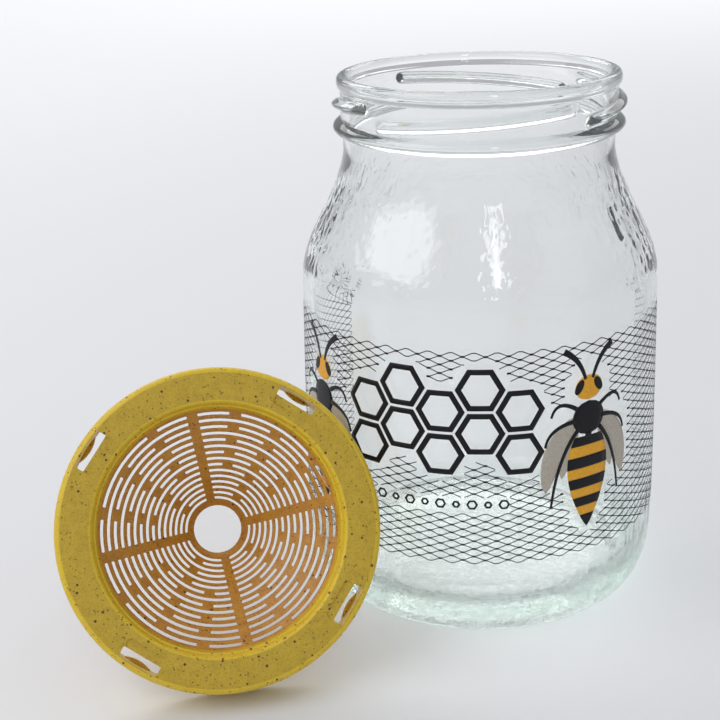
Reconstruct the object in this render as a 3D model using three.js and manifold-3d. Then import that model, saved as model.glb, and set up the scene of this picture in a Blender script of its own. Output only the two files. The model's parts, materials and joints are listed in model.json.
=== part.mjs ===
// Wasp trap: a wide-mouth glass bait jar and the moulded funnel lid that twists onto it.
// Millimetres, +Z up. The lid is off the jar, standing on its rim and leaning on the glass.

import * as THREE from 'three';
import { mergeVertices } from 'three/addons/utils/BufferGeometryUtils.js';
import Module from 'manifold-3d';

const wasm = await Module();
wasm.setup();

// ---- driving dimensions -------------------------------------------------------------------

// Jar body
const jarHeight = 126.9;
const barrelRadiusLow = 44.4;
const barrelRadiusHigh = 43.1;
const heelHeight = 15.5;
const bearingRingOuter = 38.6;
const bearingRingInner = 36.4;
const pushUpHeight = 2.4;
const glassWall = 2.6;
const baseThickness = 4.4;
const shoulderHeight = 29.4;
const barrelBelly = 0.3; // how far the barrel's curve is drawn in at its middle
const barrelBellyShare = 0.62; // and how far up the straight part that is
const undersideSlope = 6.0;
const floorCorner = 5.0;
const floorDish = 1.0;
const heelInsideRise = 2.0;

// Pulls of the shoulder's curve, outside and inside, as shares of the shoulder's height
const shoulderPullLow = 0.285;
const shoulderPullHigh = 0.64;
const shoulderLeanLow = 0.2;
const shoulderLeanHigh = 1.2;
const insidePullLow = 0.3;
const insidePullHigh = 0.4;

// Jar finish: neck, transfer bead, thread and lip
const finishHeight = 17.4;
const neckRadius = 32.1;
const neckWall = 1.7;
const beadProud = 2.2;
const beadHalfHeight = 1.9;
const beadBelowRim = 12.0;
const finishStep = 0.4;
const lipProud = 0.8;
const lipHeight = 3.4;
const lipFlareShare = 0.8;
const lipWidestShare = 0.45;
const lipRounding = 1.4;
const threadCentreProud = 0.7;
const threadRidgeRadius = 1.35;
const threadBelowRim = 6.9;
const threadRise = 3.4;
const threadSweep = Math.PI * 0.48;
const threadStarts = 4;
const threadFirstAngle = THREE.MathUtils.degToRad(-138);

// Lid
const threadClearance = 0.3;
const skirtWall = 1.2;
const skirtHeight = 10.0;
const skirtDraft = 0.2;
const rimRounding = 1.6;
const flangeThickness = 1.6;
const flangeInnerRadius = 28.1;
const throatDrop = 4.4;
const throatInset = 1.3;
const throatRounding = 0.6;
const collarFoot = 1.8;
const collarFootShare = 0.85;
const plateOverlap = 0.3;
const funnelWall = 1.4;
const funnelSlope = THREE.MathUtils.degToRad(28);
const funnelBend = 80;
const entryHoleRadius = 5.6;

// Slots in the funnel
const slotRows = 15;
const slotShare = 0.464; // a slot's width as a share of the pitch of the rows
const rowMargin = 0.85;
const hubMargin = 2.56;
const spokes = 4;
const spokeWidthHub = 1.9;
const spokeWidthRim = 2.5;
const bridgeWidthHub = 2.0;
const bridgeWidthRim = 2.8;
const firstDoubleRow = 7;
const doubleBridgeOffset = THREE.MathUtils.degToRad(23.3);
const firstSpokeAngle = THREE.MathUtils.degToRad(8.3);

// Lug windows and lugs
const windowWidth = 9.3;
const windowDepth = 2.3;
const windowFromSkirt = 0.5;
const padDepth = 2.2;
const padSink = 0.3;
const padCorner = 1.0;
const padOverlap = 0.1;
const lugHalfWidth = 4.4;
const lugProud = 0.9;
const lugHeight = 1.4;

// How the lid stands
const leanTilt = THREE.MathUtils.degToRad(28.3);
const faceTurn = THREE.MathUtils.degToRad(11.3);
const sideAngle = THREE.MathUtils.degToRad(222.2);
const leanGap = 0.35;

// Fineness of the curved surfaces
const jarSides = 40;
const lidSides = 32;
const leastFacetShare = 0.05;
const halvings = 40;

// ---- values that follow -------------------------------------------------------------------

const quarterTurn = Math.PI / 2;
const overcut = 1;
const lidFacet = (2 * Math.PI) / lidSides;
const bodyTop = jarHeight - finishHeight - shoulderHeight;
const neckStart = jarHeight - finishHeight;
const beadHeight = jarHeight - beadBelowRim;
const bellyHeight = bodyTop * barrelBellyShare;
const mouthRadius = neckRadius - neckWall;
const finishWallRadius = neckRadius + finishStep;
const lipRadius = finishWallRadius + lipProud;
const threadCentreRadius = finishWallRadius + threadCentreProud;
const threadOuterRadius = threadCentreRadius + threadRidgeRadius;
const skirtInner = threadOuterRadius + threadClearance;
const lidRadius = skirtInner + skirtWall;
const funnelStartRadius = flangeInnerRadius - throatInset;
const windowOuter = skirtInner - windowFromSkirt;
const windowInner = windowOuter - windowDepth;
const windowAngle = firstSpokeAngle + Math.PI / spokes;
const slotPitch = (funnelLength() - rowMargin - hubMargin) / (slotRows - 1);
const slotWidth = slotShare * slotPitch;
const firstRowAlong = rowMargin + (slotRows - 1) * slotPitch;

// ---- solids -------------------------------------------------------------------------------

function solid(geometry) {
  const bare = geometry.clone();
  bare.deleteAttribute('normal');
  bare.deleteAttribute('uv');
  const merged = mergeVertices(bare, 1e-5);
  const mesh = new wasm.Mesh({
    numProp: 3,
    vertProperties: new Float32Array(merged.attributes.position.array),
    triVerts: new Uint32Array(merged.index.array),
  });
  mesh.merge();
  return new wasm.Manifold(mesh);
}

function geometryOf(body) {
  const mesh = body.getMesh();
  const geometry = new THREE.BufferGeometry();
  geometry.setAttribute('position', new THREE.BufferAttribute(mesh.vertProperties, 3));
  geometry.setIndex(new THREE.BufferAttribute(mesh.triVerts, 1));
  geometry.computeVertexNormals();
  return geometry;
}

// A turned body about +Z from a profile of (radius, height) points, with a facet edge at an angle.
function turned(profile, sides, edgeAngle) {
  const lathe = new THREE.LatheGeometry(profile, sides);
  lathe.rotateX(quarterTurn);
  lathe.rotateZ(quarterTurn + edgeAngle);
  return solid(lathe);
}

// Moves each vertex of a geometry by a rule, as when a straight piece is bent round a neck.
function reshape(geometry, rule) {
  const place = geometry.attributes.position;
  const point = new THREE.Vector3();
  for (let i = 0; i < place.count; i += 1) {
    rule(point.fromBufferAttribute(place, i));
    place.setXYZ(i, point.x, point.y, point.z);
  }
  return geometry;
}

// ---- jar ----------------------------------------------------------------------------------

function jarOutside() {
  const path = new THREE.Path();
  path.moveTo(bearingRingOuter, 0);
  path.absellipse(bearingRingOuter, heelHeight, barrelRadiusLow - bearingRingOuter, heelHeight,
    -quarterTurn, 0, false);
  path.quadraticCurveTo(barrelRadiusLow - barrelBelly, bellyHeight, barrelRadiusHigh, bodyTop);
  path.bezierCurveTo(
    barrelRadiusHigh - shoulderLeanLow, bodyTop + shoulderHeight * shoulderPullLow,
    neckRadius + shoulderLeanHigh, bodyTop + shoulderHeight * shoulderPullHigh,
    neckRadius, neckStart);
  return path.getPoints(4);
}

function jarFinish() {
  const path = new THREE.Path();
  path.moveTo(neckRadius, beadHeight - beadHalfHeight);
  path.quadraticCurveTo(neckRadius + 2 * beadProud, beadHeight,
    finishWallRadius, beadHeight + beadHalfHeight);
  path.lineTo(finishWallRadius, jarHeight - lipHeight);
  path.quadraticCurveTo(lipRadius, jarHeight - lipHeight * lipFlareShare,
    lipRadius, jarHeight - lipHeight * lipWidestShare);
  path.quadraticCurveTo(lipRadius, jarHeight, lipRadius - lipRounding, jarHeight);
  path.quadraticCurveTo(mouthRadius, jarHeight, mouthRadius, jarHeight - lipRounding);
  return path.getPoints(3);
}

function jarInside() {
  const floorTop = pushUpHeight + baseThickness;
  const innerLow = barrelRadiusLow - glassWall;
  const innerHigh = barrelRadiusHigh - glassWall;
  const path = new THREE.Path();
  path.moveTo(mouthRadius, neckStart);
  path.bezierCurveTo(mouthRadius, neckStart - shoulderHeight * insidePullHigh,
    innerHigh, bodyTop + shoulderHeight * insidePullLow, innerHigh, bodyTop);
  path.quadraticCurveTo(innerLow - barrelBelly, bellyHeight, innerLow, heelHeight + heelInsideRise);
  path.quadraticCurveTo(innerLow, floorTop - floorDish, bearingRingInner - floorCorner, floorTop - floorDish);
  path.lineTo(0, floorTop);
  return path.getPoints(3);
}

function jarProfile() {
  const underside = [
    new THREE.Vector2(0, pushUpHeight),
    new THREE.Vector2(bearingRingInner - undersideSlope, pushUpHeight),
    new THREE.Vector2(bearingRingInner, 0),
  ];
  return [...underside, ...jarOutside(), ...jarFinish(), ...jarInside()];
}

// One thread start: a round-ended ridge that climbs anticlockwise seen from above.
function threadRidge(start) {
  const run = threadSweep * threadCentreRadius - 2 * threadRidgeRadius;
  const ridge = new THREE.CapsuleGeometry(threadRidgeRadius, run, 2, 6, 10);
  return reshape(ridge, (point) => {
    const turn = point.y / (run + 2 * threadRidgeRadius);
    const angle = start + threadSweep * (0.5 + turn);
    const radius = threadCentreRadius + point.x;
    const height = jarHeight - threadBelowRim + threadRise * turn + point.z;
    point.set(radius * Math.cos(angle), radius * Math.sin(angle), height);
  });
}

function glassJar() {
  let jar = turned(jarProfile(), jarSides, 0);
  for (let i = 0; i < threadStarts; i += 1) {
    const start = threadFirstAngle + (i * 2 * Math.PI) / threadStarts;
    jar = jar.add(solid(threadRidge(start)));
  }
  return geometryOf(jar);
}

// Outer radius of the turned jar at a height.
function jarRadiusAt(height) {
  const wall = [...jarOutside(), ...jarFinish()].filter((point, i, all) => i === 0 || point.y > all[i - 1].y);
  const above = wall.findIndex((point) => point.y >= height);
  if (above < 1) {
    return above === 0 ? wall[0].x : 0;
  }
  const low = wall[above - 1];
  const high = wall[above];
  return low.x + ((high.x - low.x) * (height - low.y)) / (high.y - low.y);
}

// ---- lid ----------------------------------------------------------------------------------

// The funnel's upper face, a given way along its wall from its outer edge, and a depth below it.
// The wall is a circular arc that steepens towards the hub. Depth is taken along the lid's axis,
// the way the mould opens, so the slots' sides are upright and the wall keeps its thickness.
function funnelPoint(along, below) {
  const slope = funnelSlope + along / funnelBend;
  const radius = funnelStartRadius - funnelBend * (Math.sin(slope) - Math.sin(funnelSlope));
  const height = -throatDrop - funnelBend * (Math.cos(funnelSlope) - Math.cos(slope));
  return new THREE.Vector2(radius, height - below / Math.cos(slope));
}

// How far along the wall the funnel reaches the entry hole.
function funnelLength() {
  const sine = Math.sin(funnelSlope) + (funnelStartRadius - entryHoleRadius) / funnelBend;
  return funnelBend * (Math.asin(sine) - funnelSlope);
}

// Flange, skirt and throat: the turned collar that the funnel plate is joined to.
function collarProfile() {
  const top = new THREE.Path();
  top.moveTo(skirtInner, -skirtHeight);
  top.lineTo(lidRadius + skirtDraft, -skirtHeight);
  top.lineTo(lidRadius, -rimRounding);
  top.absarc(lidRadius - rimRounding, -rimRounding, rimRounding, 0, quarterTurn, false);
  top.lineTo(flangeInnerRadius + throatRounding, 0);
  top.quadraticCurveTo(flangeInnerRadius, 0, flangeInnerRadius - throatRounding / 2, -throatRounding);
  top.lineTo(funnelStartRadius, -throatDrop);
  const under = [
    funnelPoint(0, funnelWall),
    new THREE.Vector2(funnelStartRadius + collarFoot, -throatDrop - collarFootShare * funnelWall),
    new THREE.Vector2(flangeInnerRadius + throatInset, -flangeThickness),
    new THREE.Vector2(skirtInner, -flangeThickness),
    new THREE.Vector2(skirtInner, -skirtHeight),
  ];
  return [...top.getPoints(2), ...under];
}

// A corner of the flat plate that becomes the funnel: its distance from the centre is the hole's
// radius plus the way still to go along the wall.
function platePoint(along, angle) {
  const reach = entryHoleRadius + funnelLength() - along;
  return new THREE.Vector2(reach * Math.cos(angle), reach * Math.sin(angle));
}

function plateCircle(along) {
  return Array.from({ length: lidSides }, (_, i) => platePoint(along, firstSpokeAngle + i * lidFacet));
}

// Centre angles of the bridges of a row within one quadrant, measured from its middle.
function bridgeAngles(row) {
  if (row % 2 === 0) {
    return [0];
  }
  return row < firstDoubleRow ? [] : [-doubleBridgeOffset, doubleBridgeOffset];
}

// The [from, to] angles of every slot of a row, between spokes and bridges.
function slotSpans(row, radius) {
  const share = (row - 1) / (slotRows - 1);
  const spokeHalf = Math.asin(THREE.MathUtils.lerp(spokeWidthHub, spokeWidthRim, share) / 2 / radius);
  const bridgeHalf = Math.asin(THREE.MathUtils.lerp(bridgeWidthHub, bridgeWidthRim, share) / 2 / radius);
  const spans = [];
  for (let quadrant = 0; quadrant < spokes; quadrant += 1) {
    const middle = firstSpokeAngle + ((quadrant + 0.5) * 2 * Math.PI) / spokes;
    let from = middle - Math.PI / spokes + spokeHalf;
    for (const bridge of bridgeAngles(row)) {
      spans.push([from, middle + bridge - bridgeHalf]);
      from = middle + bridge + bridgeHalf;
    }
    spans.push([from, middle + Math.PI / spokes - spokeHalf]);
  }
  return spans;
}

// The angles of a slot's corners: its two ends and the facet edges of the turned lid between them.
function cornerAngles(from, to) {
  const angles = [from];
  const edge = Math.ceil((from - firstSpokeAngle) / lidFacet + leastFacetShare);
  for (let i = edge; firstSpokeAngle + (i + leastFacetShare) * lidFacet < to; i += 1) {
    angles.push(firstSpokeAngle + i * lidFacet);
  }
  return [...angles, to];
}

function slotOutline(along, from, to) {
  const angles = cornerAngles(from, to);
  const outer = angles.map((angle) => platePoint(along - slotWidth / 2, angle));
  const inner = angles.map((angle) => platePoint(along + slotWidth / 2, angle));
  return [...outer, ...inner.reverse()];
}

// The slotted funnel: a flat ring with its slots, thickened and then bent down to the hub.
function funnelPlate() {
  const plate = new THREE.Shape(plateCircle(-plateOverlap));
  plate.holes.push(new THREE.Path(plateCircle(funnelLength())));
  for (let row = 1; row <= slotRows; row += 1) {
    const along = firstRowAlong - (row - 1) * slotPitch;
    for (const [from, to] of slotSpans(row, funnelPoint(along, 0).x)) {
      plate.holes.push(new THREE.Path(slotOutline(along, from, to)));
    }
  }
  const flat = new THREE.ExtrudeGeometry(plate, { depth: funnelWall, bevelEnabled: false });
  return reshape(flat, (point) => {
    const along = entryHoleRadius + funnelLength() - Math.hypot(point.x, point.y);
    const angle = Math.atan2(point.y, point.x);
    const place = funnelPoint(along, funnelWall - point.z);
    point.set(place.x * Math.cos(angle), place.x * Math.sin(angle), place.y);
  });
}

// A window through the flange beside the skirt, with the shallow pad on its inner side.
function windowCutters(angle) {
  const opening = new THREE.BoxGeometry(windowDepth, windowWidth, flangeThickness + 2 * overcut);
  opening.translate(windowInner + windowDepth / 2, 0, -flangeThickness / 2);
  const near = windowInner - padDepth;
  const half = windowWidth / 2;
  const outline = new THREE.Shape();
  outline.moveTo(windowInner + padOverlap, -half);
  outline.lineTo(windowInner + padOverlap, half);
  outline.lineTo(near + padCorner, half);
  outline.quadraticCurveTo(near, half, near, half - padCorner);
  outline.lineTo(near, -half + padCorner);
  outline.quadraticCurveTo(near, -half, near + padCorner, -half);
  const pad = new THREE.ExtrudeGeometry(outline, { depth: overcut, bevelEnabled: false, curveSegments: 3 });
  pad.translate(0, 0, -padSink);
  return [opening, pad].map((piece) => solid(piece.rotateZ(angle)));
}

// A lug at the skirt's lower edge, bulging towards the centre.
function lug(angle) {
  const root = skirtInner + skirtWall / 2;
  const chord = Math.sqrt(root * root - lugHalfWidth * lugHalfWidth);
  const outline = new THREE.Shape();
  outline.moveTo(chord, -lugHalfWidth);
  outline.lineTo(root, 0);
  outline.lineTo(chord, lugHalfWidth);
  outline.quadraticCurveTo(2 * (skirtInner - lugProud) - chord, 0, chord, -lugHalfWidth);
  const settings = { depth: lugHeight, bevelEnabled: false, curveSegments: 6 };
  const piece = new THREE.ExtrudeGeometry(outline, settings);
  piece.translate(0, 0, -skirtHeight);
  return solid(piece.rotateZ(angle));
}

function funnelLid() {
  let lid = turned(collarProfile(), lidSides, firstSpokeAngle).add(solid(funnelPlate()));
  for (let i = 0; i < spokes; i += 1) {
    lid = lid.add(lug(windowAngle + (i * 2 * Math.PI) / spokes));
  }
  const cuts = [];
  for (let i = 0; i < spokes; i += 1) {
    cuts.push(...windowCutters(windowAngle + (i * 2 * Math.PI) / spokes));
  }
  return geometryOf(lid.subtract(wasm.Manifold.union(cuts)));
}

// ---- how the lid stands -------------------------------------------------------------------

const leanTurn = new THREE.Euler(quarterTurn - leanTilt, 0, faceTurn, 'ZXY');

// Height of the flange's centre when the skirt's back edge stands on the surface.
function standingHeight() {
  const foot = lidRadius + skirtDraft;
  return skirtHeight * Math.sin(leanTilt) + foot * Math.cos(leanTilt);
}

// Smallest gap between the skirt's back edge and the glass with the lid a distance from the axis.
function gapAt(distance) {
  const frame = new THREE.Matrix4().makeRotationFromEuler(leanTurn);
  const centre = new THREE.Vector3(distance * Math.cos(sideAngle), distance * Math.sin(sideAngle),
    standingHeight());
  let gap = Infinity;
  for (let i = 0; i < 4 * lidSides; i += 1) {
    const angle = (i * Math.PI) / (2 * lidSides);
    const edge = new THREE.Vector3(Math.cos(angle), Math.sin(angle), 0);
    edge.multiplyScalar(lidRadius + skirtDraft);
    edge.z = -skirtHeight;
    edge.applyMatrix4(frame).add(centre);
    gap = Math.min(gap, Math.hypot(edge.x, edge.y) - jarRadiusAt(edge.z));
  }
  return gap;
}

// Distance of the leaning lid from the jar's axis, by halving between touching and clear.
function leaningDistance() {
  let near = 0;
  let far = 4 * (barrelRadiusLow + lidRadius);
  for (let i = 0; i < halvings; i += 1) {
    const middle = (near + far) / 2;
    if (gapAt(middle) < leanGap) {
      near = middle;
    } else {
      far = middle;
    }
  }
  return far;
}

// ---- assembly -----------------------------------------------------------------------------

function named(name, geometry, settings) {
  const mesh = new THREE.Mesh(geometry, new THREE.MeshStandardMaterial(settings));
  mesh.name = name;
  return mesh;
}

const jar = named('glass_jar', glassJar(), {
  color: 0xc9d9cc, roughness: 0.05, metalness: 0, transparent: true, opacity: 0.4,
});
const lid = named('funnel_lid', funnelLid(), { color: 0xc2a83c, roughness: 0.5, metalness: 0 });

const standing = leaningDistance();
const leaningLid = new THREE.Group();
leaningLid.rotation.copy(leanTurn);
leaningLid.position.set(standing * Math.cos(sideAngle), standing * Math.sin(sideAngle), standingHeight());
leaningLid.add(lid);

const trap = new THREE.Group();
trap.add(jar, leaningLid);

// The origin is under the middle of the pair, on the surface they stand on.
const extent = new THREE.Box3().setFromObject(trap, true);
const middle = extent.getCenter(new THREE.Vector3());
trap.position.set(-middle.x, -middle.y, 0);

export default trap;
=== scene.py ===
"""A glass bait jar with a printed net, and its speckled funnel lid leaning on it."""
import json
import math

import bmesh
import bpy
from mathutils import Matrix, Vector, noise


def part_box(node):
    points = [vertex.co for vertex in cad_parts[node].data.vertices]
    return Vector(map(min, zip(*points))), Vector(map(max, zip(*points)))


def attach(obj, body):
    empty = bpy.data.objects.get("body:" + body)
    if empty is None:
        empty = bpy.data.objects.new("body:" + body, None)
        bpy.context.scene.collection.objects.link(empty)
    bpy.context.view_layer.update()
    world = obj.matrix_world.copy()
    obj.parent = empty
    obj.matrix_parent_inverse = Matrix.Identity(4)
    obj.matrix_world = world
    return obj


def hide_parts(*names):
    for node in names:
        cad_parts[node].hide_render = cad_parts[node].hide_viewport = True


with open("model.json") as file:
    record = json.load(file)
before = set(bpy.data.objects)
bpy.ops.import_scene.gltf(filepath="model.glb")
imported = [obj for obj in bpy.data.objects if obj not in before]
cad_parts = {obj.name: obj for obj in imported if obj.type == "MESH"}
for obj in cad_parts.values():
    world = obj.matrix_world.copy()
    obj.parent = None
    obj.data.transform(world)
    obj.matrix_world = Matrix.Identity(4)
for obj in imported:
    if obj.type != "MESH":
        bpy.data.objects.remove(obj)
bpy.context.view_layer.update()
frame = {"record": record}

MM = 0.001
TURN = 2 * math.pi

# ---- places taken from the frame ------------------------------------------------------------

jar_low, jar_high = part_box("glass_jar")
JAR_AXIS = Vector(((jar_low[0] + jar_high[0]) / 2, (jar_low[1] + jar_high[1]) / 2, 0))
JAR_HEIGHT = (jar_high[2] - jar_low[2]) / MM

mounts = {mount["name"]: mount for mount in frame["record"]["mounts"]}
FLANGE_MOUNT_RADIUS = 31.5 * MM
LID_OUT = Vector(mounts["flange_face"]["axis"]).normalized()
LID_ACROSS = Vector((-LID_OUT.y, LID_OUT.x, 0)).normalized()
LID_UP = LID_OUT.cross(LID_ACROSS)
LID_CENTRE = Vector(mounts["flange_face"]["pos_m"]) - LID_ACROSS * FLANGE_MOUNT_RADIUS

# ---- camera ---------------------------------------------------------------------------------

CAMERA_FROM_AXIS = Vector((-17.178, -304.211, 171.521)) * MM
CAMERA_YAW = -0.0419
CAMERA_PITCH = 0.3658
CAMERA_ROLL = -0.0355


def add_camera():
    data = bpy.data.cameras.new("camera")
    data.lens = 64.09
    data.sensor_width = 36
    data.clip_start = 0.01
    camera = bpy.data.objects.new("camera", data)
    bpy.context.scene.collection.objects.link(camera)
    aim = Matrix.Rotation(-CAMERA_YAW, 4, "Z") @ Matrix.Rotation(math.pi / 2 - CAMERA_PITCH, 4, "X")
    aim = aim @ Matrix.Rotation(CAMERA_ROLL, 4, "Z")
    camera.matrix_world = Matrix.Translation(JAR_AXIS + CAMERA_FROM_AXIS) @ aim
    bpy.context.scene.camera = camera


add_camera()
bpy.context.scene.view_settings.view_transform = "Standard"

# ---- jar and lid sizes, in millimetres ------------------------------------------------------

# Jar body
BARREL_LOW = 44.4
BARREL_HIGH = 43.1
HEEL_HEIGHT = 15.5
RING_OUTER = 38.6
RING_INNER = 36.4
PUSH_UP = 2.4
WALL = 2.6
BASE = 4.4
SHOULDER = 29.4
FINISH = 17.4
BODY_TOP = JAR_HEIGHT - FINISH - SHOULDER
NECK_START = JAR_HEIGHT - FINISH

# Curve of the barrel and shoulder; pulls are shares of the shoulder's height
BELLY_IN = 0.3
BELLY_Z = BODY_TOP * 0.62
SHOULDER_LEAN_LOW, SHOULDER_LEAN_HIGH = 0.2, 1.2
SHOULDER_PULL_LOW, SHOULDER_PULL_HIGH = 0.285, 0.64
INSIDE_PULL_LOW, INSIDE_PULL_HIGH = 0.3, 0.4
INSIDE_HEEL_Z = HEEL_HEIGHT + 2

# Floor of the jar, inside and under
FLOOR_TOP = PUSH_UP + BASE
FLOOR_CORNER = 5
FLOOR_DISH = 1
CROWN_RADIUS = 15
CROWN_DROP = 0.6
UNDER_SLOPE = 6
UNDER_SLOPE_DROP = 0.3
UNDER_FOOT = 2
UNDER_FOOT_SHARE = 0.45

# Jar finish
MOUTH = 30.4
NECK = 32.1
BEAD_Z = JAR_HEIGHT - 12.0
BEAD_PROUD = 2.2
BEAD_HALF = 1.9
FINISH_WALL = NECK + 0.4
LIP = FINISH_WALL + 0.8
LIP_HEIGHT = 3.4
LIP_START = JAR_HEIGHT - LIP_HEIGHT
LIP_FLARE = JAR_HEIGHT - LIP_HEIGHT * 0.8
LIP_WIDEST = JAR_HEIGHT - LIP_HEIGHT * 0.45
LIP_ROUNDING = 1.4
THREAD_RADIUS = FINISH_WALL + 2.05
THREAD_HALF_WIDTH = 1.45
THREAD_TAPER = 4.0
THREAD_SHARPNESS = 1.5
THREAD_Z = JAR_HEIGHT - 6.9
THREAD_RISE = 3.4
THREAD_SWEEP = math.pi * 0.48
THREAD_STARTS = 4
THREAD_FIRST = math.radians(-138)

AROUND_JAR = 480
AROUND_LID = 256

# Stipple on shoulder and heel, and the maker's pellet on the shoulder
STIPPLE_DEPTH = 0.30
STIPPLE_SIZE = 1.15
STIPPLE_SQUASH = 0.6
STIPPLE_SWELL, STIPPLE_SWELL_SIZE = 0.5, 3
STIPPLE_SINK = 0.2
STIPPLE_BANDS = [(81, 85, 100, 106), (2, 5, 16, 24)]  # heights: starts, full, begins to fade, ends
PELLET_ANGLE = math.radians(-37)
PELLET_Z = 95.5
PELLET_HALF = 2.8
PELLET_RADIUS = 1.2
PELLET_PROUD = 0.7
PELLET_GIRTH = 36
PELLET_FLAT_SHARE = 0.55

# Lid
LID_RADIUS = 36.05
SKIRT_WALL = 1.2
SKIRT_HEIGHT = 10.0
SKIRT_DRAFT = 0.2
SKIRT_INNER = LID_RADIUS - SKIRT_WALL
RIM_ROUNDING = 1.6
FLANGE = 1.6
FLANGE_INNER = 28.1
THROAT_DROP = 4.4
THROAT_INSET = 1.3
THROAT_ROUNDING = 0.6
THROAT_STEP = [(0.55, 1.5), (0.62, 1.7), (0.95, 1.8), (1.02, 2.0)]  # ways inwards and down
FUNNEL_START = FLANGE_INNER - THROAT_INSET
COLLAR_FOOT = 1.8
COLLAR_FOOT_SHARE = 0.85
SKIRT_ROOT = 0.4
SKIRT_EDGE = 0.2
FUNNEL_WALL = 1.4
FUNNEL_SLOPE = math.radians(28)
FUNNEL_BEND = 80.0
HOLE = 5.6

# Slots
ROWS = 15
SLOT_SHARE = 0.464
ROW_MARGIN = 0.85
HUB_MARGIN = 2.56
SPOKES = 4
SPOKE_HUB, SPOKE_RIM = 1.9, 2.5
BRIDGE_HUB, BRIDGE_RIM = 2.0, 2.8
FIRST_DOUBLE_ROW = 7
DOUBLE_OFFSET = math.radians(23.3)
FIRST_SPOKE = math.radians(8.3)
BRIDGE_CLEARANCE = 0.02
PLATE_OVERLAP = 0.5
SLOT_BEVEL = 0.12
SLOT_EDGE_ANGLE = 1.0

# Lug windows and lugs
WINDOW_WIDTH = 9.3
WINDOW_DEPTH = 2.3
WINDOW_OUTER = SKIRT_INNER - 0.5
WINDOW_INNER = WINDOW_OUTER - WINDOW_DEPTH
WINDOW_ANGLE = FIRST_SPOKE + math.pi / SPOKES
PAD_DEPTH = 2.2
PAD_SINK = 0.3
PAD_OVERLAP = 0.1
PAD_CORNER = 1.0
WINDOW_CORNER = 0.25
OVERCUT = 1
LUG_HALF = 4.4
LUG_PROUD = 0.9
LUG_HEIGHT = 1.4
LUG_LIFT = 0.05
FLAT_FROM = FLANGE_INNER + 0.5
FLAT_ABOVE = -PAD_SINK - 0.05

# Print: the net runs round the barrel between two heights
NET_LOW = 21.3
NET_HIGH = 72.1
NET_CELL = math.radians(20 / 3)
NET_CELLS = 34
NET_LINES = 51
NET_LINE = 0.245
NET_CREST = 1 / 12
PRINT_LIFT = 0.03
PRINT_THICKNESS = 0.02
LABEL_ANGLE = math.radians(-104.4)
LABEL_Z = 56.0
WASP_SPREAD = math.radians(45.7)
WASP_Z = 48.5

# Honeycomb emblem and the row of small hexagons under it
CELL = 6.0
CELL_LINE = 1.5
CELL_GAP = 0.35
CELL_MARGIN = 1.0
BADGE_ROW_Z = 36.0
BADGE_SPACING = 3.6
BADGE_COUNT = 9
BADGE_RADIUS = 1.35
BADGE_LESS = 0.35
BADGE_LINE = 0.55
BADGE_MARGIN = 2.2

# A wasp, in (sideways, up) from its middle
ABDOMEN = [(0, 1.5), (0, -21.5)]
STRIPES = [(0.0, 0.10), (0.22, 0.34), (0.45, 0.56), (0.66, 0.76), (0.86, 1.0)]
LEGS = [((3.2, 8.4), (8.6, 12.2), (9.8, 7.4)),
        ((3.6, 5.6), (10.4, 5.4), (11.2, 0.4)),
        ((3.0, 3.2), (8.2, -2.2), (9.6, -14.5))]
INK_LAYER = 0.03

# Ovals that the net leaves clear round a wasp: middle, half width and half height
WASP_CLEAR = [(0, -7.5, 6.6, 15.5), (0, 11.5, 6.5, 9.5), (-8.6, -1.0, 4.8, 11.0), (8.6, -1.0, 4.8, 11.0)]

# Glass. A share of the light is bent by the glass and the rest passes straight
GLASS_TINT = (0.45, 0.86, 0.66, 1)
GLASS_DENSITY = 12
WALL_SHARE, HEEL_SHARE = 0.97, 0.62
HEEL_CLEAR_LOW, HEEL_CLEAR_HIGH = 9 * MM, 18 * MM

# Studio
FLOOR_COLOUR = (0.765, 0.77, 0.79, 1)
BACKDROP_COLOUR = (0.95, 0.96, 1.0, 1)
BACKDROP_STRENGTH = 0.455

# ---- meshes ---------------------------------------------------------------------------------


def finish_mesh(name, work, materials, body, replaces=None, sharp=30):
    """Turns a bmesh in the row frame, in metres, into a piece that rides on a body."""
    bmesh.ops.recalc_face_normals(work, faces=work.faces)
    mesh = bpy.data.meshes.new(name)
    work.to_mesh(mesh)
    work.free()
    for material in materials:
        mesh.materials.append(material)
    mesh.shade_smooth()
    mesh.set_sharp_from_angle(angle=math.radians(sharp))
    piece = bpy.data.objects.new(name, mesh)
    bpy.context.scene.collection.objects.link(piece)
    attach(piece, body)
    if replaces:
        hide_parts(replaces)
    return piece


def curve(points, steps):
    """Points along a Bezier curve with any number of control points."""
    found = []
    for step in range(steps + 1):
        share = step / steps
        left = [Vector(point) for point in points]
        while len(left) > 1:
            left = [a.lerp(b, share) for a, b in zip(left, left[1:])]
        found.append(left[0])
    return found


def patch(work, across, along, place):
    """A grid over 0..1 by 0..1, each corner put where a rule says; returns its vertices."""
    made = bmesh.ops.create_grid(work, x_segments=across, y_segments=along, size=0.5)
    for vertex in made["verts"]:
        vertex.co = place(vertex.co.x + 0.5, vertex.co.y + 0.5)
    return made["verts"]


def turn_profile(work, profile, around):
    """Turns a profile of (radius, height) points about the Z axis; returns the vertices."""
    last = len(profile) - 1

    def place(u, v):
        radius, height = profile[round(v * last)]
        angle = TURN * (round(u * around) % around) / around
        return Vector((radius * math.cos(angle), radius * math.sin(angle), height))

    return patch(work, around, last, place)


def place_all(work, place):
    for vertex in work.verts:
        vertex.co = place(vertex.co)


def at_jar(point):
    return point * MM + JAR_AXIS


def at_lid(point):
    return LID_CENTRE + (LID_ACROSS * point.x + LID_UP * point.y + LID_OUT * point.z) * MM


def smooth_step(low, high, value):
    share = min(1, max(0, (value - low) / (high - low)))
    return share * share * (3 - 2 * share)


# ---- glass jar ------------------------------------------------------------------------------


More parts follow.
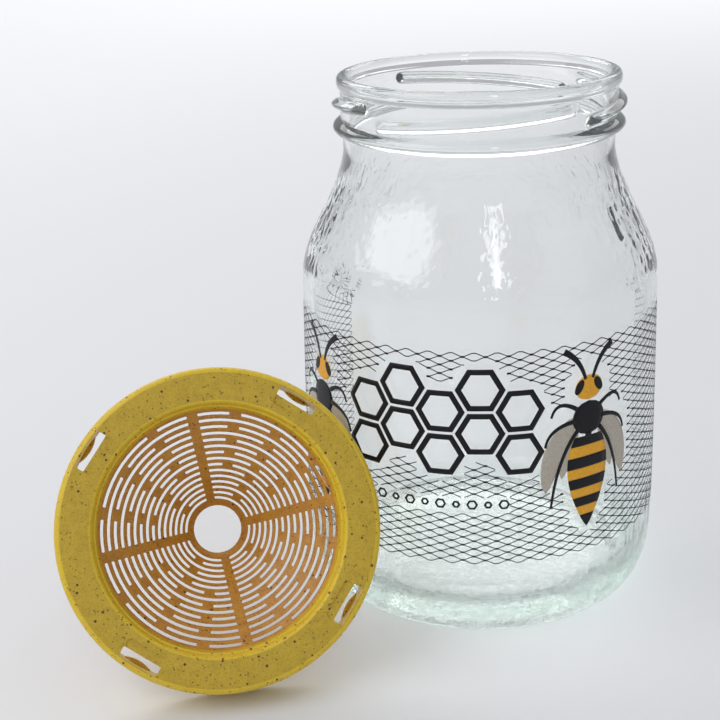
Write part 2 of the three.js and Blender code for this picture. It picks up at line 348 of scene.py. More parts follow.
def jar_outside():
    turns = [math.pi / 2 * step / 26 for step in range(27)]
    heel = [Vector((RING_OUTER + (BARREL_LOW - RING_OUTER) * math.sin(turn),
                    HEEL_HEIGHT * (1 - math.cos(turn)))) for turn in turns]
    barrel = curve([(BARREL_LOW, HEEL_HEIGHT), (BARREL_LOW - BELLY_IN, BELLY_Z),
                    (BARREL_HIGH, BODY_TOP)], 12)
    shoulder = curve([(BARREL_HIGH, BODY_TOP),
                      (BARREL_HIGH - SHOULDER_LEAN_LOW, BODY_TOP + SHOULDER * SHOULDER_PULL_LOW),
                      (NECK + SHOULDER_LEAN_HIGH, BODY_TOP + SHOULDER * SHOULDER_PULL_HIGH),
                      (NECK, NECK_START)], 60)
    bead = curve([(NECK, BEAD_Z - BEAD_HALF), (NECK + 2 * BEAD_PROUD, BEAD_Z),
                  (FINISH_WALL, BEAD_Z + BEAD_HALF)], 12)
    wall = curve([(FINISH_WALL, BEAD_Z + BEAD_HALF), (FINISH_WALL, LIP_START)], 26)
    return heel + barrel[1:] + shoulder[1:] + bead + wall[1:]


def jar_lip():
    top = curve([(FINISH_WALL, LIP_START), (LIP, LIP_FLARE), (LIP, LIP_WIDEST)], 5)
    over = curve([(LIP, LIP_WIDEST), (LIP, JAR_HEIGHT), (LIP - LIP_ROUNDING, JAR_HEIGHT)], 7)
    down = curve([(LIP - LIP_ROUNDING, JAR_HEIGHT), (MOUTH, JAR_HEIGHT),
                  (MOUTH, JAR_HEIGHT - LIP_ROUNDING)], 7)
    return top + over[1:] + down[1:]


def jar_inside():
    low = BARREL_LOW - WALL
    high = BARREL_HIGH - WALL
    neck = curve([(MOUTH, JAR_HEIGHT - LIP_ROUNDING), (MOUTH, NECK_START)], 2)
    shoulder = curve([(MOUTH, NECK_START), (MOUTH, NECK_START - SHOULDER * INSIDE_PULL_HIGH),
                      (high, BODY_TOP + SHOULDER * INSIDE_PULL_LOW), (high, BODY_TOP)], 16)
    barrel = curve([(high, BODY_TOP), (low - BELLY_IN, BELLY_Z), (low, INSIDE_HEEL_Z)], 7)
    heel = curve([(low, INSIDE_HEEL_Z), (low, FLOOR_TOP - FLOOR_DISH),
                  (RING_INNER - FLOOR_CORNER, FLOOR_TOP - FLOOR_DISH)], 12)
    crown = [Vector((CROWN_RADIUS, FLOOR_TOP - CROWN_DROP)), Vector((0, FLOOR_TOP))]
    return neck[1:] + shoulder[1:] + barrel[1:] + heel[1:] + crown


def jar_underside():
    return [Vector((0, PUSH_UP)), Vector((CROWN_RADIUS, PUSH_UP)),
            Vector((RING_INNER - UNDER_SLOPE, PUSH_UP - UNDER_SLOPE_DROP)),
            Vector((RING_INNER - UNDER_FOOT, PUSH_UP * UNDER_FOOT_SHARE)),
            Vector((RING_INNER, 0)), Vector((RING_OUTER, 0))]


def thread_height(angle, height):
    """How far the thread ridges stand out of the finish at a place on it."""
    best = 0
    for start in range(THREAD_STARTS):
        turn = (angle - THREAD_FIRST - start * TURN / THREAD_STARTS) % TURN
        if turn > THREAD_SWEEP:
            continue
        rise = THREAD_RISE * (turn / THREAD_SWEEP - 0.5)
        apart = (height - THREAD_Z - rise) / THREAD_HALF_WIDTH
        if abs(apart) < 1:
            to_end = min(turn, THREAD_SWEEP - turn) * THREAD_RADIUS
            best = max(best, (1 - apart * apart) ** THREAD_SHARPNESS * smooth_step(0, THREAD_TAPER, to_end))
    return best * (THREAD_RADIUS - FINISH_WALL)


def pellet_height(angle, height):
    """How far the rounded pellet stands out of the shoulder at a place on it."""
    across = (angle - PELLET_ANGLE) * PELLET_GIRTH
    along = max(0, abs(height - PELLET_Z) - PELLET_HALF)
    apart = math.hypot(across, along)
    return PELLET_PROUD * (1 - smooth_step(PELLET_FLAT_SHARE * PELLET_RADIUS, PELLET_RADIUS, apart))


def stipple_share(height):
    """How strong the stipple is at a height."""
    return max(smooth_step(start, full, height) * (1 - smooth_step(fade, end, height))
               for start, full, fade, end in STIPPLE_BANDS)


def shape_outside(vertex):
    """Raises thread, pellet and stipple on the turned outer wall."""
    spot = vertex.co
    radius = math.hypot(spot.x, spot.y)
    angle = math.atan2(spot.y, spot.x)
    wanted = radius + thread_height(angle, spot.z) + pellet_height(angle, spot.z)
    share = stipple_share(spot.z)
    if share > 0:
        squashed = Vector((spot.x, spot.y, spot.z * STIPPLE_SQUASH))
        grain = noise.noise(squashed / STIPPLE_SIZE)
        swell = noise.noise(squashed / (STIPPLE_SWELL_SIZE * STIPPLE_SIZE))
        wanted += STIPPLE_DEPTH * share * (min(0, grain) + swell * STIPPLE_SWELL - STIPPLE_SINK)
    vertex.co = Vector((math.cos(angle) * wanted, math.sin(angle) * wanted, spot.z))


def make_jar(material):
    work = bmesh.new()
    for vertex in turn_profile(work, jar_outside(), AROUND_JAR):
        shape_outside(vertex)
    turn_profile(work, [jar_outside()[-1]] + jar_lip()[1:], AROUND_JAR)
    turn_profile(work, [jar_lip()[-1]] + jar_inside(), AROUND_JAR)
    turn_profile(work, jar_underside(), AROUND_JAR)
    bmesh.ops.remove_doubles(work, verts=work.verts, dist=0.002)
    bmesh.ops.dissolve_degenerate(work, edges=work.edges, dist=0.0005)
    bmesh.ops.recalc_face_normals(work, faces=work.faces)
    place_all(work, at_jar)
    return finish_mesh("jar_glass", work, [material], "jar", "glass_jar", sharp=60)


# ---- lid ------------------------------------------------------------------------------------


def funnel_point(along, below):
    """(radius, height) on the funnel, a way along its wall from the throat and below its face.

    The way below is along the lid's axis, so that the wall keeps its thickness."""
    slope = FUNNEL_SLOPE + along / FUNNEL_BEND
    radius = FUNNEL_START - FUNNEL_BEND * (math.sin(slope) - math.sin(FUNNEL_SLOPE))
    height = -THROAT_DROP - FUNNEL_BEND * (math.cos(FUNNEL_SLOPE) - math.cos(slope))
    return Vector((radius, height - below / math.cos(slope)))


def axial_wall(radius):
    """The funnel wall's depth along the lid's axis at a radius."""
    slope = math.asin(math.sin(FUNNEL_SLOPE) + (FUNNEL_START - radius) / FUNNEL_BEND)
    return FUNNEL_WALL / math.cos(slope)


def funnel_length():
    sine = math.sin(FUNNEL_SLOPE) + (FUNNEL_START - HOLE) / FUNNEL_BEND
    return FUNNEL_BEND * (math.asin(sine) - FUNNEL_SLOPE)


PITCH = (funnel_length() - ROW_MARGIN - HUB_MARGIN) / (ROWS - 1)
SLOT = SLOT_SHARE * PITCH


def row_along(row):
    return ROW_MARGIN + (ROWS - row) * PITCH


def band_edges():
    """Ways along the wall of every ring line: the slots' two edges, the throat and the hole."""
    edges = [-PLATE_OVERLAP]
    for row in range(ROWS, 0, -1):
        edges += [row_along(row) - SLOT / 2, row_along(row) + SLOT / 2]
    return edges + [(edges[-1] + funnel_length()) / 2, funnel_length()]


QUADRANT_STEPS = [1, 4, 2, 4, 2, 4, 2, 4, 1]
STEPS_PER_QUADRANT = sum(QUADRANT_STEPS)


def quadrant_lines(along):
    """Angles of a quadrant's spoke and bridge edges at a ring line, from its middle."""
    radius = funnel_point(along, 0).x
    share = 1 - along / funnel_length()
    spoke = math.asin((SPOKE_HUB + (SPOKE_RIM - SPOKE_HUB) * share) / 2 / radius)
    bridge = math.asin((BRIDGE_HUB + (BRIDGE_RIM - BRIDGE_HUB) * share) / 2 / radius)
    side = min(DOUBLE_OFFSET, TURN / 8 - spoke - bridge - BRIDGE_CLEARANCE)
    return [-TURN / 8, -TURN / 8 + spoke, -side - bridge, -side + bridge, -bridge,
            bridge, side - bridge, side + bridge, TURN / 8 - spoke, TURN / 8]


def line_angle(step, along):
    quadrant, left = divmod(step, STEPS_PER_QUADRANT)
    middle = FIRST_SPOKE + (quadrant + 0.5) * TURN / SPOKES
    lines = quadrant_lines(along)
    for index, count in enumerate(QUADRANT_STEPS):
        if left <= count:
            return middle + lines[index] + (lines[index + 1] - lines[index]) * left / count
        left -= count
    return middle + lines[-1]


def is_slot(step, band):
    """Whether a cell of the funnel's polar grid is open."""
    if band % 2 == 0 or band > 2 * ROWS:
        return False
    row = ROWS - (band - 1) // 2
    left = step % STEPS_PER_QUADRANT
    interval = 0
    while left >= QUADRANT_STEPS[interval]:
        left -= QUADRANT_STEPS[interval]
        interval += 1
    if interval in (0, len(QUADRANT_STEPS) - 1):
        return False
    if row % 2 == 0:
        return interval != 4
    return row < FIRST_DOUBLE_ROW or interval not in (2, 6)


def make_funnel(material):
    """The slotted funnel, from a grid of ring lines and spoke lines with the slots left out."""
    edges = band_edges()
    around = SPOKES * STEPS_PER_QUADRANT
    work = bmesh.new()
    bmesh.ops.create_grid(work, x_segments=around, y_segments=len(edges) - 1, size=0.5)
    open_faces = []
    for face in work.faces:
        middle = face.calc_center_median()
        step = int((middle.x + 0.5) * around)
        band = int((middle.y + 0.5) * (len(edges) - 1))
        if is_slot(step, band):
            open_faces.append(face)
    bmesh.ops.delete(work, geom=open_faces, context="FACES")
    for vertex in work.verts:
        step = round((vertex.co.x + 0.5) * around)
        along = edges[round((vertex.co.y + 0.5) * (len(edges) - 1))]
        angle = line_angle(step, along)
        spot = funnel_point(along, 0)
        vertex.co = Vector((spot.x * math.cos(angle), spot.x * math.sin(angle), spot.y))
    bmesh.ops.remove_doubles(work, verts=work.verts, dist=0.001)
    grown = bmesh.ops.extrude_face_region(work, geom=list(work.faces))
    for vertex in (part for part in grown["geom"] if isinstance(part, bmesh.types.BMVert)):
        vertex.co.z -= axial_wall(vertex.co.xy.length)
    bmesh.ops.recalc_face_normals(work, faces=work.faces)
    rims = [edge for edge in work.edges if edge.is_manifold and edge.calc_face_angle() > SLOT_EDGE_ANGLE]
    bmesh.ops.bevel(work, geom=rims, offset=SLOT_BEVEL, segments=2, profile=0.5, affect="EDGES",
                    material=-1, clamp_overlap=True)
    place_all(work, at_lid)
    return finish_mesh("lid_funnel", work, [material], "lid", "funnel_lid")


def collar_profile():
    rim = [Vector((LID_RADIUS - RIM_ROUNDING * (1 - math.cos(turn)),
                   -RIM_ROUNDING * (1 - math.sin(turn))))
           for turn in (math.pi / 2 * step / 8 for step in range(9))]
    throat = curve([(FLANGE_INNER + THROAT_ROUNDING, 0), (FLANGE_INNER, 0),
                    (FLANGE_INNER - THROAT_ROUNDING / 2, -THROAT_ROUNDING)], 6)
    ledge = [Vector((FLANGE_INNER - inwards, -down)) for inwards, down in THROAT_STEP]
    foot = [Vector((FUNNEL_START, -THROAT_DROP)), funnel_point(0, FUNNEL_WALL),
            Vector((FUNNEL_START + COLLAR_FOOT, -THROAT_DROP - COLLAR_FOOT_SHARE * FUNNEL_WALL)),
            Vector((FLANGE_INNER + THROAT_INSET, -FLANGE))]
    inside = [Vector((SKIRT_INNER - SKIRT_ROOT, -FLANGE)), Vector((SKIRT_INNER, -FLANGE - SKIRT_ROOT)),
              Vector((SKIRT_INNER, -SKIRT_HEIGHT + SKIRT_EDGE)),
              Vector((SKIRT_INNER + SKIRT_EDGE, -SKIRT_HEIGHT))]
    edge = [Vector((LID_RADIUS + SKIRT_DRAFT - SKIRT_EDGE, -SKIRT_HEIGHT)),
            Vector((LID_RADIUS + SKIRT_DRAFT, -SKIRT_HEIGHT + SKIRT_EDGE))]
    return edge + rim + throat + ledge + foot + inside + [edge[0]]


def add_cutter(work, turn, inner, outer, low, rounding):
    """A box that cuts from above the flange down to a depth, its upright edges rounded."""
    place = Matrix.Translation(((inner + outer) / 2, 0, (low + OVERCUT) / 2))
    scale = Matrix.Diagonal((outer - inner, WINDOW_WIDTH, OVERCUT - low, 1))
    made = bmesh.ops.create_cube(work, size=1, matrix=turn @ place @ scale)
    edges = dict.fromkeys(edge for vertex in made["verts"] for edge in vertex.link_edges)
    upright = [edge for edge in edges if abs(edge.verts[0].co.z - edge.verts[1].co.z) > PAD_SINK]
    bmesh.ops.bevel(work, geom=upright, offset=rounding, segments=4, profile=0.5,
                    affect="EDGES", material=-1)


def window_tool():
    """Cutters for the lug windows and the shallow pads beside them."""
    work = bmesh.new()
    for spoke in range(SPOKES):
        turn = Matrix.Rotation(WINDOW_ANGLE + spoke * TURN / SPOKES, 4, "Z")
        add_cutter(work, turn, WINDOW_INNER, WINDOW_OUTER, -FLANGE - OVERCUT, WINDOW_CORNER)
        add_cutter(work, turn, WINDOW_INNER - PAD_DEPTH, WINDOW_INNER + PAD_OVERLAP, -PAD_SINK, PAD_CORNER)
    return work


def cut(target, tool):
    """Subtracts one bmesh from another with the exact solver and returns the result."""
    objects = []
    for work in (target, tool):
        mesh = bpy.data.meshes.new("cut")
        work.to_mesh(mesh)
        work.free()
        objects.append(bpy.data.objects.new("cut", mesh))
        bpy.context.scene.collection.objects.link(objects[-1])
    change = objects[0].modifiers.new("cut", "BOOLEAN")
    change.operation = "DIFFERENCE"
    change.solver = "EXACT"
    change.use_self = True
    change.object = objects[1]
    graph = bpy.context.evaluated_depsgraph_get()
    result = bmesh.new()
    result.from_object(objects[0], graph)
    for used in objects:
        mesh = used.data
        bpy.data.objects.remove(used)
        bpy.data.meshes.remove(mesh)
    return result


def add_lug(work, angle):
    """One lug at the skirt's lower edge: a lens-shaped slab that bulges to the centre."""
    root = SKIRT_INNER + SKIRT_WALL / 2
    chord = math.sqrt(root * root - LUG_HALF * LUG_HALF)
    tip = 2 * (SKIRT_INNER - LUG_PROUD) - chord
    outline = curve([(chord, -LUG_HALF), (tip, 0), (chord, LUG_HALF)], 16) + [Vector((root, 0))]
    turn = Matrix.Rotation(angle, 3, "Z")
    corners = [work.verts.new(turn @ Vector((x, y, -SKIRT_HEIGHT + LUG_LIFT))) for x, y in outline]
    base = work.faces.new(corners)
    grown = bmesh.ops.extrude_face_region(work, geom=[base])
    raised = [part for part in grown["geom"] if isinstance(part, bmesh.types.BMVert)]
    bmesh.ops.translate(work, verts=raised, vec=(0, 0, LUG_HEIGHT))
    faces = [base] + [part for part in work.faces if any(vertex in raised for vertex in part.verts)]
    bmesh.ops.recalc_face_normals(work, faces=faces)


def mark_collar(work):
    """Gives the flat of the flange its own, duller finish; every other collar face gets the lighter copy,
    whose lighter yellow is a painted highlight.
    """
    for face in work.faces:
        middle = face.calc_center_median()
        flat = face.normal.z > 0.99 and middle.z > FLAT_ABOVE
        face.material_index = 0 if flat and middle.xy.length > FLAT_FROM else 1


def make_collar(flat, polished_highlit):
    work = bmesh.new()
    turn_profile(work, collar_profile(), AROUND_LID)
    bmesh.ops.remove_doubles(work, verts=work.verts, dist=0.001)
    bmesh.ops.recalc_face_normals(work, faces=work.faces)
    work = cut(work, window_tool())
    for spoke in range(SPOKES):
        add_lug(work, WINDOW_ANGLE + spoke * TURN / SPOKES)
    mark_collar(work)
    place_all(work, at_lid)
    return finish_mesh("lid_collar", work, [flat, polished_highlit], "lid", "funnel_lid")


# ---- print on the glass ---------------------------------------------------------------------


def along_barrel(share, start, pull, end):
    """One coordinate of the barrel's curve, a share of the way along it."""
    return (1 - share) ** 2 * start + 2 * share * (1 - share) * pull + share ** 2 * end


def barrel_radius(height):
    """Outer radius of the barrel at a height, from the barrel's own curve."""
    low, high = 0.0, 1.0
    for _ in range(30):
        middle = (low + high) / 2
        found = along_barrel(middle, HEEL_HEIGHT, BELLY_Z, BODY_TOP)
        low, high = (middle, high) if found < height else (low, middle)
    return along_barrel(low, BARREL_LOW, BARREL_LOW - BELLY_IN, BARREL_HIGH)


def on_barrel(angle, height, lift):
    radius = barrel_radius(height) + lift
    return Vector((radius * math.cos(angle), radius * math.sin(angle), height))


def thicken(work):
    """Gives a printed sheet its thickness, outwards from the glass."""
    bmesh.ops.recalc_face_normals(work, faces=work.faces)
    for face in work.faces:
        middle = face.calc_center_median()
        if face.normal.x * middle.x + face.normal.y * middle.y < 0:
            face.normal_flip()
    bmesh.ops.solidify(work, geom=work.faces, thickness=-PRINT_THICKNESS)


def wave(share):
    """A zigzag with flat crests: 1 at a whole number, -1 half-way."""
    near = abs((share + 0.5) % 1 - 0.5)
    return 1 - 2 * min(1, max(0, (near - NET_CREST) / (0.5 - 2 * NET_CREST)))


def honeycomb_cells():
    """Centres of the emblem's cells, as (sideways, up) from the label's middle."""
    wide = 1.5 * CELL
    tall = math.sqrt(3) * CELL
    return [(wide * column, tall * (row + 0.5 * (column % 2)) - tall * 0.75)
            for column in range(-2, 3) for row in range(2)]


def label_turns():
    return LABEL_ANGLE + WASP_SPREAD, LABEL_ANGLE - WASP_SPREAD


def clear_of_emblems(angle, height):
    """Whether the net is printed here: it stops short of every emblem."""
    girth = barrel_radius(height)
    aside = ((angle - LABEL_ANGLE + math.pi) % TURN - math.pi) * girth
    up = height - LABEL_Z
    if any(math.hypot(aside - x, up - y) < CELL + CELL_MARGIN for x, y in honeycomb_cells()):
        return False
    if abs(aside) < BADGE_SPACING * BADGE_COUNT / 2 and abs(height - BADGE_ROW_Z) < BADGE_MARGIN:
        return False
    for turn in label_turns():
        away = ((angle - turn + math.pi) % TURN - math.pi) * girth
        if wasp_covers(away, height - WASP_Z):
            return False
    return True


def wasp_covers(x, y):
    """Whether a place near the middle of a wasp is under its body or wings."""
    return any(((x - aside) / wide) ** 2 + ((y - up) / tall) ** 2 < 1
               for aside, up, wide, tall in WASP_CLEAR)


def make_net(material):
    """The printed net: wavy lines in antiphase that nearly touch at their flat crests."""
    work = bmesh.new()
    step = (NET_HIGH - NET_LOW) / NET_LINES
    for line in range(NET_LINES + 1):
        middle = NET_LOW + line * step
        shift = 0.5 * (line % 2)

        def place(u, v, middle=middle, shift=shift):
            whole, part = divmod(round(u * (4 * NET_CELLS - 1)), 4)
            share = whole + (NET_CREST, 0.5 - NET_CREST, 0.5 + NET_CREST, 1 - NET_CREST)[part]
            height = middle + wave(share + shift) * (step - NET_LINE) / 2 + (v - 0.5) * NET_LINE
            angle = LABEL_ANGLE + (share - NET_CELLS / 2) * NET_CELL
            return on_barrel(angle, height, PRINT_LIFT)

        patch(work, 4 * NET_CELLS - 1, 1, place)
    hidden = []
    for face in work.faces:
        middle = face.calc_center_median()
        if not clear_of_emblems(math.atan2(middle.y, middle.x), middle.z):
            hidden.append(face)
    bmesh.ops.delete(work, geom=hidden, context="FACES")
    thicken(work)
    place_all(work, at_jar)
    return finish_mesh("print_net", work, [material], "jar", sharp=180)


def label_place(turn, height, lift=PRINT_LIFT):
    """A rule that puts flat (sideways, up) millimetres on the barrel."""
    girth = barrel_radius(height)
    return lambda x, y: on_barrel(turn + x / girth, height + y, lift)


def add_ring(work, put, x, y, radius, line):
    """A hexagon's outline."""
    for side in range(6):
        start = TURN / 6 * side
        stop = start + TURN / 6

        def place(u, v, start=start, stop=stop):
            reach = radius - line * v
            first = Vector((math.cos(start), math.sin(start)))
            last = Vector((math.cos(stop), math.sin(stop)))
            spot = first.lerp(last, u) * reach
            return put(x + spot.x, y + spot.y)

        patch(work, 6, 1, place)


def add_leaf(work, put, axis, widths, across=6, along=16, trim=(0, 1)):
    """A leaf shape along a curve, its half width a rule of the share of its length."""
    spine = curve(axis, along)

    def place(u, v):
        share = trim[0] + (trim[1] - trim[0]) * v
        slot = min(along - 1, int(share * along))
        spot = spine[slot].lerp(spine[slot + 1], share * along - slot)
        way = (spine[slot + 1] - spine[slot]).normalized()
        aside = Vector((way.y, -way.x)) * widths(share) * (2 * u - 1)
        return put(spot.x + aside.x, spot.y + aside.y)

    patch(work, across, along, place)


def finish_print(name, work, material):
    bmesh.ops.remove_doubles(work, verts=work.verts, dist=0.003)
    thicken(work)
    place_all(work, at_jar)
    return finish_mesh(name, work, [material], "jar", sharp=180)


def make_label(material):
    """The front emblem: a honeycomb with a row of small hexagons under it."""
    work = bmesh.new()
    put = label_place(LABEL_ANGLE, LABEL_Z)
    for x, y in honeycomb_cells():
        add_ring(work, put, x, y, CELL - CELL_GAP, CELL_LINE)
    drop = BADGE_ROW_Z - LABEL_Z
    for index in range(BADGE_COUNT):
        x = (index - (BADGE_COUNT - 1) / 2) * BADGE_SPACING
        add_ring(work, put, x, drop, BADGE_RADIUS - BADGE_LESS * (index % 2), BADGE_LINE)
    return finish_print("print_honeycomb", work, material)


def oval(width, power=0.5):
    return lambda share: width * (max(0.0, 4 * share * (1 - share))) ** power


def abdomen(share):
    return 5.6 * math.sin(math.pi * min(1, 0.12 + 0.88 * share) ** 0.75) ** 0.8 if share < 1 else 0.0


def add_wasp_dark(work, put):
    for first, last in STRIPES:
        add_leaf(work, put, ABDOMEN, abdomen, along=6, trim=(first, last))
    add_leaf(work, put, [(0, 10.0), (0, 1.8)], oval(4.4))
    add_leaf(work, put, [(0, 2.4), (0, 1.0)], lambda share: 0.9, along=2)
    for side in (-1, 1):
        add_leaf(work, put, [(side * 1.7, 15.2), (side * 3.6, 11.9)], oval(1.0))
        add_leaf(work, put, [(side * 1.0, 15.2), (side * 2.6, 20.5), (side * 6.8, 22.6)],
                 lambda share: 0.42 + 0.35 * share)
        for leg in LEGS:
            add_leaf(work, put, [(side * x, y) for x, y in leg], lambda share: 0.55 - 0.25 * share, across=2)


def add_wasp_wings(work, put):
    for side in (-1, 1):
        add_leaf(work, put, [(side * 3.2, 6.6), (side * 10.0, 1.0), (side * 11.0, -11.0)], oval(2.6, 0.7))
        add_leaf(work, put, [(side * 2.8, 4.0), (side * 6.0, -1.0), (side * 7.0, -8.0)], oval(1.7, 0.7))


def add_wasp_amber(work, put):
    for first, last in zip([pair[1] for pair in STRIPES], [pair[0] for pair in STRIPES[1:]]):
        add_leaf(work, put, ABDOMEN, abdomen, along=6, trim=(first, last))
    add_leaf(work, put, [(0, 16.2), (0, 10.2)], oval(3.8))


def make_wasps(dark, amber, wing):
    """Two plain wasps seen from above, one at each side of the label."""
    for name, shape, material, lift in (("print_wasp_wings", add_wasp_wings, wing, 0.0),
                                        ("print_wasp_amber", add_wasp_amber, amber, INK_LAYER),
                                        ("print_wasp_dark", add_wasp_dark, dark, 2 * INK_LAYER)):
        work = bmesh.new()
        for turn in label_turns():
            shape(work, label_place(turn, WASP_Z, PRINT_LIFT + lift))
        finish_print(name, work, material)


# ---- materials ------------------------------------------------------------------------------


class Value:
    """A number that varies over a surface; arithmetic on it adds Math nodes."""

    def __init__(self, finish, socket):
        self.finish = finish
        self.socket = socket

    def math(self, operation, *inputs):
        return self.finish.node("ShaderNodeMath", {"operation": operation}, dict(enumerate(inputs)))

    def __add__(self, other):
        return self.math("ADD", self, other)

    def __radd__(self, other):
        return self.math("ADD", other, self)

    def __sub__(self, other):
        return self.math("SUBTRACT", self, other)

    def __rsub__(self, other):
        return self.math("SUBTRACT", other, self)

    def __mul__(self, other):
        return self.math("MULTIPLY", self, other)

    def __rmul__(self, other):
        return self.math("MULTIPLY", other, self)

    def between(self, low, high):
        """0 below low, 1 above high, and a smooth step from one to the other."""
        return self.finish.node("ShaderNodeMapRange", {"interpolation_type": "SMOOTHSTEP"},
                                {"Value": self, "From Min": low, "From Max": high})


class Finish:
    """A material with one Principled shader."""

    def __init__(self, name, **sockets):
        self.material = bpy.data.materials.new(name)
        self.material.use_nodes = True
        self.tree = self.material.node_tree
        self.shader = self.tree.nodes["Principled BSDF"]
        for socket, value in sockets.items():
            self.feed(self.shader.inputs[socket.replace("_", " ")], value)

    def feed(self, socket, value):
        if isinstance(value, Value):
            self.tree.links.new(value.socket, socket)
        else:
            socket.default_value = value

    def node(self, kind, settings=None, inputs=None, output=0):
        made = self.tree.nodes.new(kind)
        for key, value in (settings or {}).items():
            setattr(made, key, value)
        for key, value in (inputs or {}).items():
            self.feed(made.inputs[key], value)
        return Value(self, made.outputs[output])

    def place(self):
        return self.node("ShaderNodeTexCoord", output="Object")

    def grain(self, scale, detail=2.0):
        return self.node("ShaderNodeTexNoise", None,
                         {"Vector": self.place(), "Scale": scale, "Detail": detail})

    def blend(self, share, first, second):
        return self.node("ShaderNodeMix", {"data_type": "RGBA"}, {0: share, 6: first, 7: second}, output=2)

    def bump(self, height, distance):
        found = self.node("ShaderNodeBump", None, {"Height": height, "Distance": distance})
        self.feed(self.shader.inputs["Normal"], found)

    def set(self, socket, value):
        self.feed(self.shader.inputs[socket], value)


def specks(finish, scale, size, often):
    """Round dark specks: one in each Voronoi cell that is picked, 1 inside and 0 outside."""
    cells = finish.tree.nodes.new("ShaderNodeTexVoronoi")
    finish.feed(cells.inputs["Vector"], finish.place())
    finish.feed(cells.inputs["Scale"], scale)
    chance = finish.node("ShaderNodeSeparateColor", None, {0: Value(finish, cells.outputs["Color"])})
    near = Value(finish, cells.outputs["Distance"])
    wanted = chance.between(1 - often, 1 - often + 0.02)
    return (1 - (near + finish.grain(scale * 3) * 0.12).between(size, size + 0.06)) * wanted


def bioplastic(name, light, dark, speck, rough, grain):
    finish = Finish(name)
    cloud = finish.grain(420, 5).between(0.35, 0.65)
    fine = finish.grain(2200, 4)
    colour = finish.blend(cloud * 0.35 + fine.between(0.42, 0.68) * 0.6, light, dark)
    small = specks(finish, 1000, 0.20, 0.45) * 0.8
    large = specks(finish, 520, 0.19, 0.40) * 0.95
    flecks = finish.grain(1250, 3).between(0.655, 0.70) * 0.65
    marks = small.math("MAXIMUM", small.math("MAXIMUM", small, large), flecks)
    finish.set("Base Color", finish.blend(marks, colour, speck))
    finish.set("Roughness", fine * 0.25 + (rough - 0.12))
    finish.bump(fine + cloud * 0.4, grain)
    return finish.material


def glass():
    """Faintly green glass that lets the lamps through to what stands behind it."""
    finish = Finish("glass", Base_Color=(1, 1, 1, 1), Roughness=0.0, IOR=1.5, Transmission_Weight=1.0)
    height = finish.node("ShaderNodeSeparateXYZ", None, {0: finish.place()}, output=2)
    wall = height.between(HEEL_CLEAR_LOW, HEEL_CLEAR_HIGH)
    pits = finish.grain(620, 3).between(0.50, 0.60) * 0.8
    bent = wall.math("MAXIMUM", wall, pits)
    finish.set("Alpha", bent * (WALL_SHARE - HEEL_SHARE) + HEEL_SHARE)
    absorb = finish.node("ShaderNodeVolumeAbsorption", None,
                         {"Color": GLASS_TINT, "Density": GLASS_DENSITY})
    shadow = finish.node("ShaderNodeLightPath", output="Is Shadow Ray")
    clear = finish.node("ShaderNodeBsdfTransparent")
    solid = Value(finish, finish.shader.outputs["BSDF"])
    mixed = finish.node("ShaderNodeMixShader", None, {0: shadow, 1: solid, 2: clear})
    output = finish.tree.nodes["Material Output"]
    finish.feed(output.inputs["Surface"], mixed)
    finish.feed(output.inputs["Volume"], absorb)
    return finish.material


def ink(name, colour, rough=0.35):
    finish = Finish(name, Specular_IOR_Level=0.2)
    mottle = finish.grain(2500, 2).between(0.3, 0.75)
    deeper = tuple(part * 0.8 for part in colour[:3]) + (1,)
    finish.set("Base Color", finish.blend(mottle, colour, deeper))
    finish.set("Roughness", mottle * 0.15 + rough)
    return finish.material


# ---- studio ---------------------------------------------------------------------------------


def add_floor():
    work = bmesh.new()
    bmesh.ops.create_grid(work, x_segments=1, y_segments=1, size=6)
    mesh = bpy.data.meshes.new("floor")
    work.to_mesh(mesh)
    work.free()
    finish = Finish("floor", Roughness=0.55)
    finish.set("Base Color", FLOOR_COLOUR)
    mesh.materials.append(finish.material)
    floor = bpy.data.objects.new("floor", mesh)
    bpy.context.scene.collection.objects.link(floor)


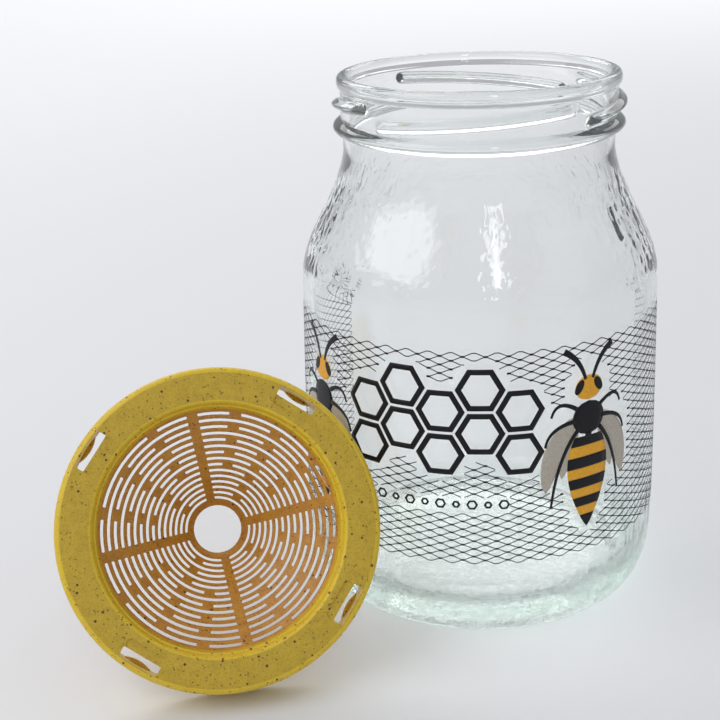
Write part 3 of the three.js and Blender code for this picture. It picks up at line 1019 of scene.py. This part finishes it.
def add_softbox(name, spot, target, width, height, power):
    data = bpy.data.lights.new(name, "AREA")
    data.shape = "RECTANGLE"
    data.size = width
    data.size_y = height
    data.energy = power
    light = bpy.data.objects.new(name, data)
    light.location = spot
    light.rotation_euler = (Vector(target) - Vector(spot)).to_track_quat("-Z", "Y").to_euler()
    bpy.context.scene.collection.objects.link(light)


def add_lights():
    world = bpy.data.worlds.new("studio")
    world.use_nodes = True
    backdrop = world.node_tree.nodes["Background"]
    backdrop.inputs["Color"].default_value = BACKDROP_COLOUR
    backdrop.inputs["Strength"].default_value = BACKDROP_STRENGTH
    bpy.context.scene.world = world
    middle = (0, 0, 0.06)
    add_softbox("window", (-0.84, -0.34, 0.92), middle, 1.05, 1.0, 6.6)
    add_softbox("strip", (0.22, -1.07, 0.85), middle, 0.12, 0.60, 1.2)
    add_softbox("far_floor", (0.1, 1.9, 1.0), (0.1, 1.9, 0), 3.2, 1.8, 27)
    add_softbox("back", (-0.55, 0.75, 0.75), middle, 0.4, 0.4, 1.2)


add_lights()
add_floor()
make_jar(glass())
flange_skin = bioplastic("bioplastic_flat", (0.61, 0.415, 0.030, 1), (0.46, 0.305, 0.022, 1),
                         (0.07, 0.03, 0.008, 1), 0.55, 0.00006)
# Lighter copy of the lid's bioplastic: its lower roughness is a real smoother finish, and its lighter yellow
# is a painted highlight on rim and throat.
polished_highlit_skin = bioplastic("bioplastic_polished_painted_highlight", (0.80, 0.56, 0.030, 1), (0.69, 0.47, 0.026, 1),
                           (0.12, 0.05, 0.02, 1), 0.42, 0.00003)
# Darker, redder amber copy of the same bioplastic: painted shade and painted light passing through the
# funnel's thin wall.
funnel_shaded_skin = bioplastic("bioplastic_funnel_painted_shade", (0.60, 0.28, 0.030, 1), (0.42, 0.17, 0.02, 1),
                         (0.09, 0.03, 0.012, 1), 0.42, 0.00003)
make_collar(flange_skin, polished_highlit_skin)
make_funnel(funnel_shaded_skin)
black = ink("ink_black", (0.012, 0.012, 0.014, 1))
make_net(black)
make_label(black)
make_wasps(black, ink("ink_amber", (0.92, 0.46, 0.04, 1)), ink("ink_wing", (0.55, 0.50, 0.42, 1)))
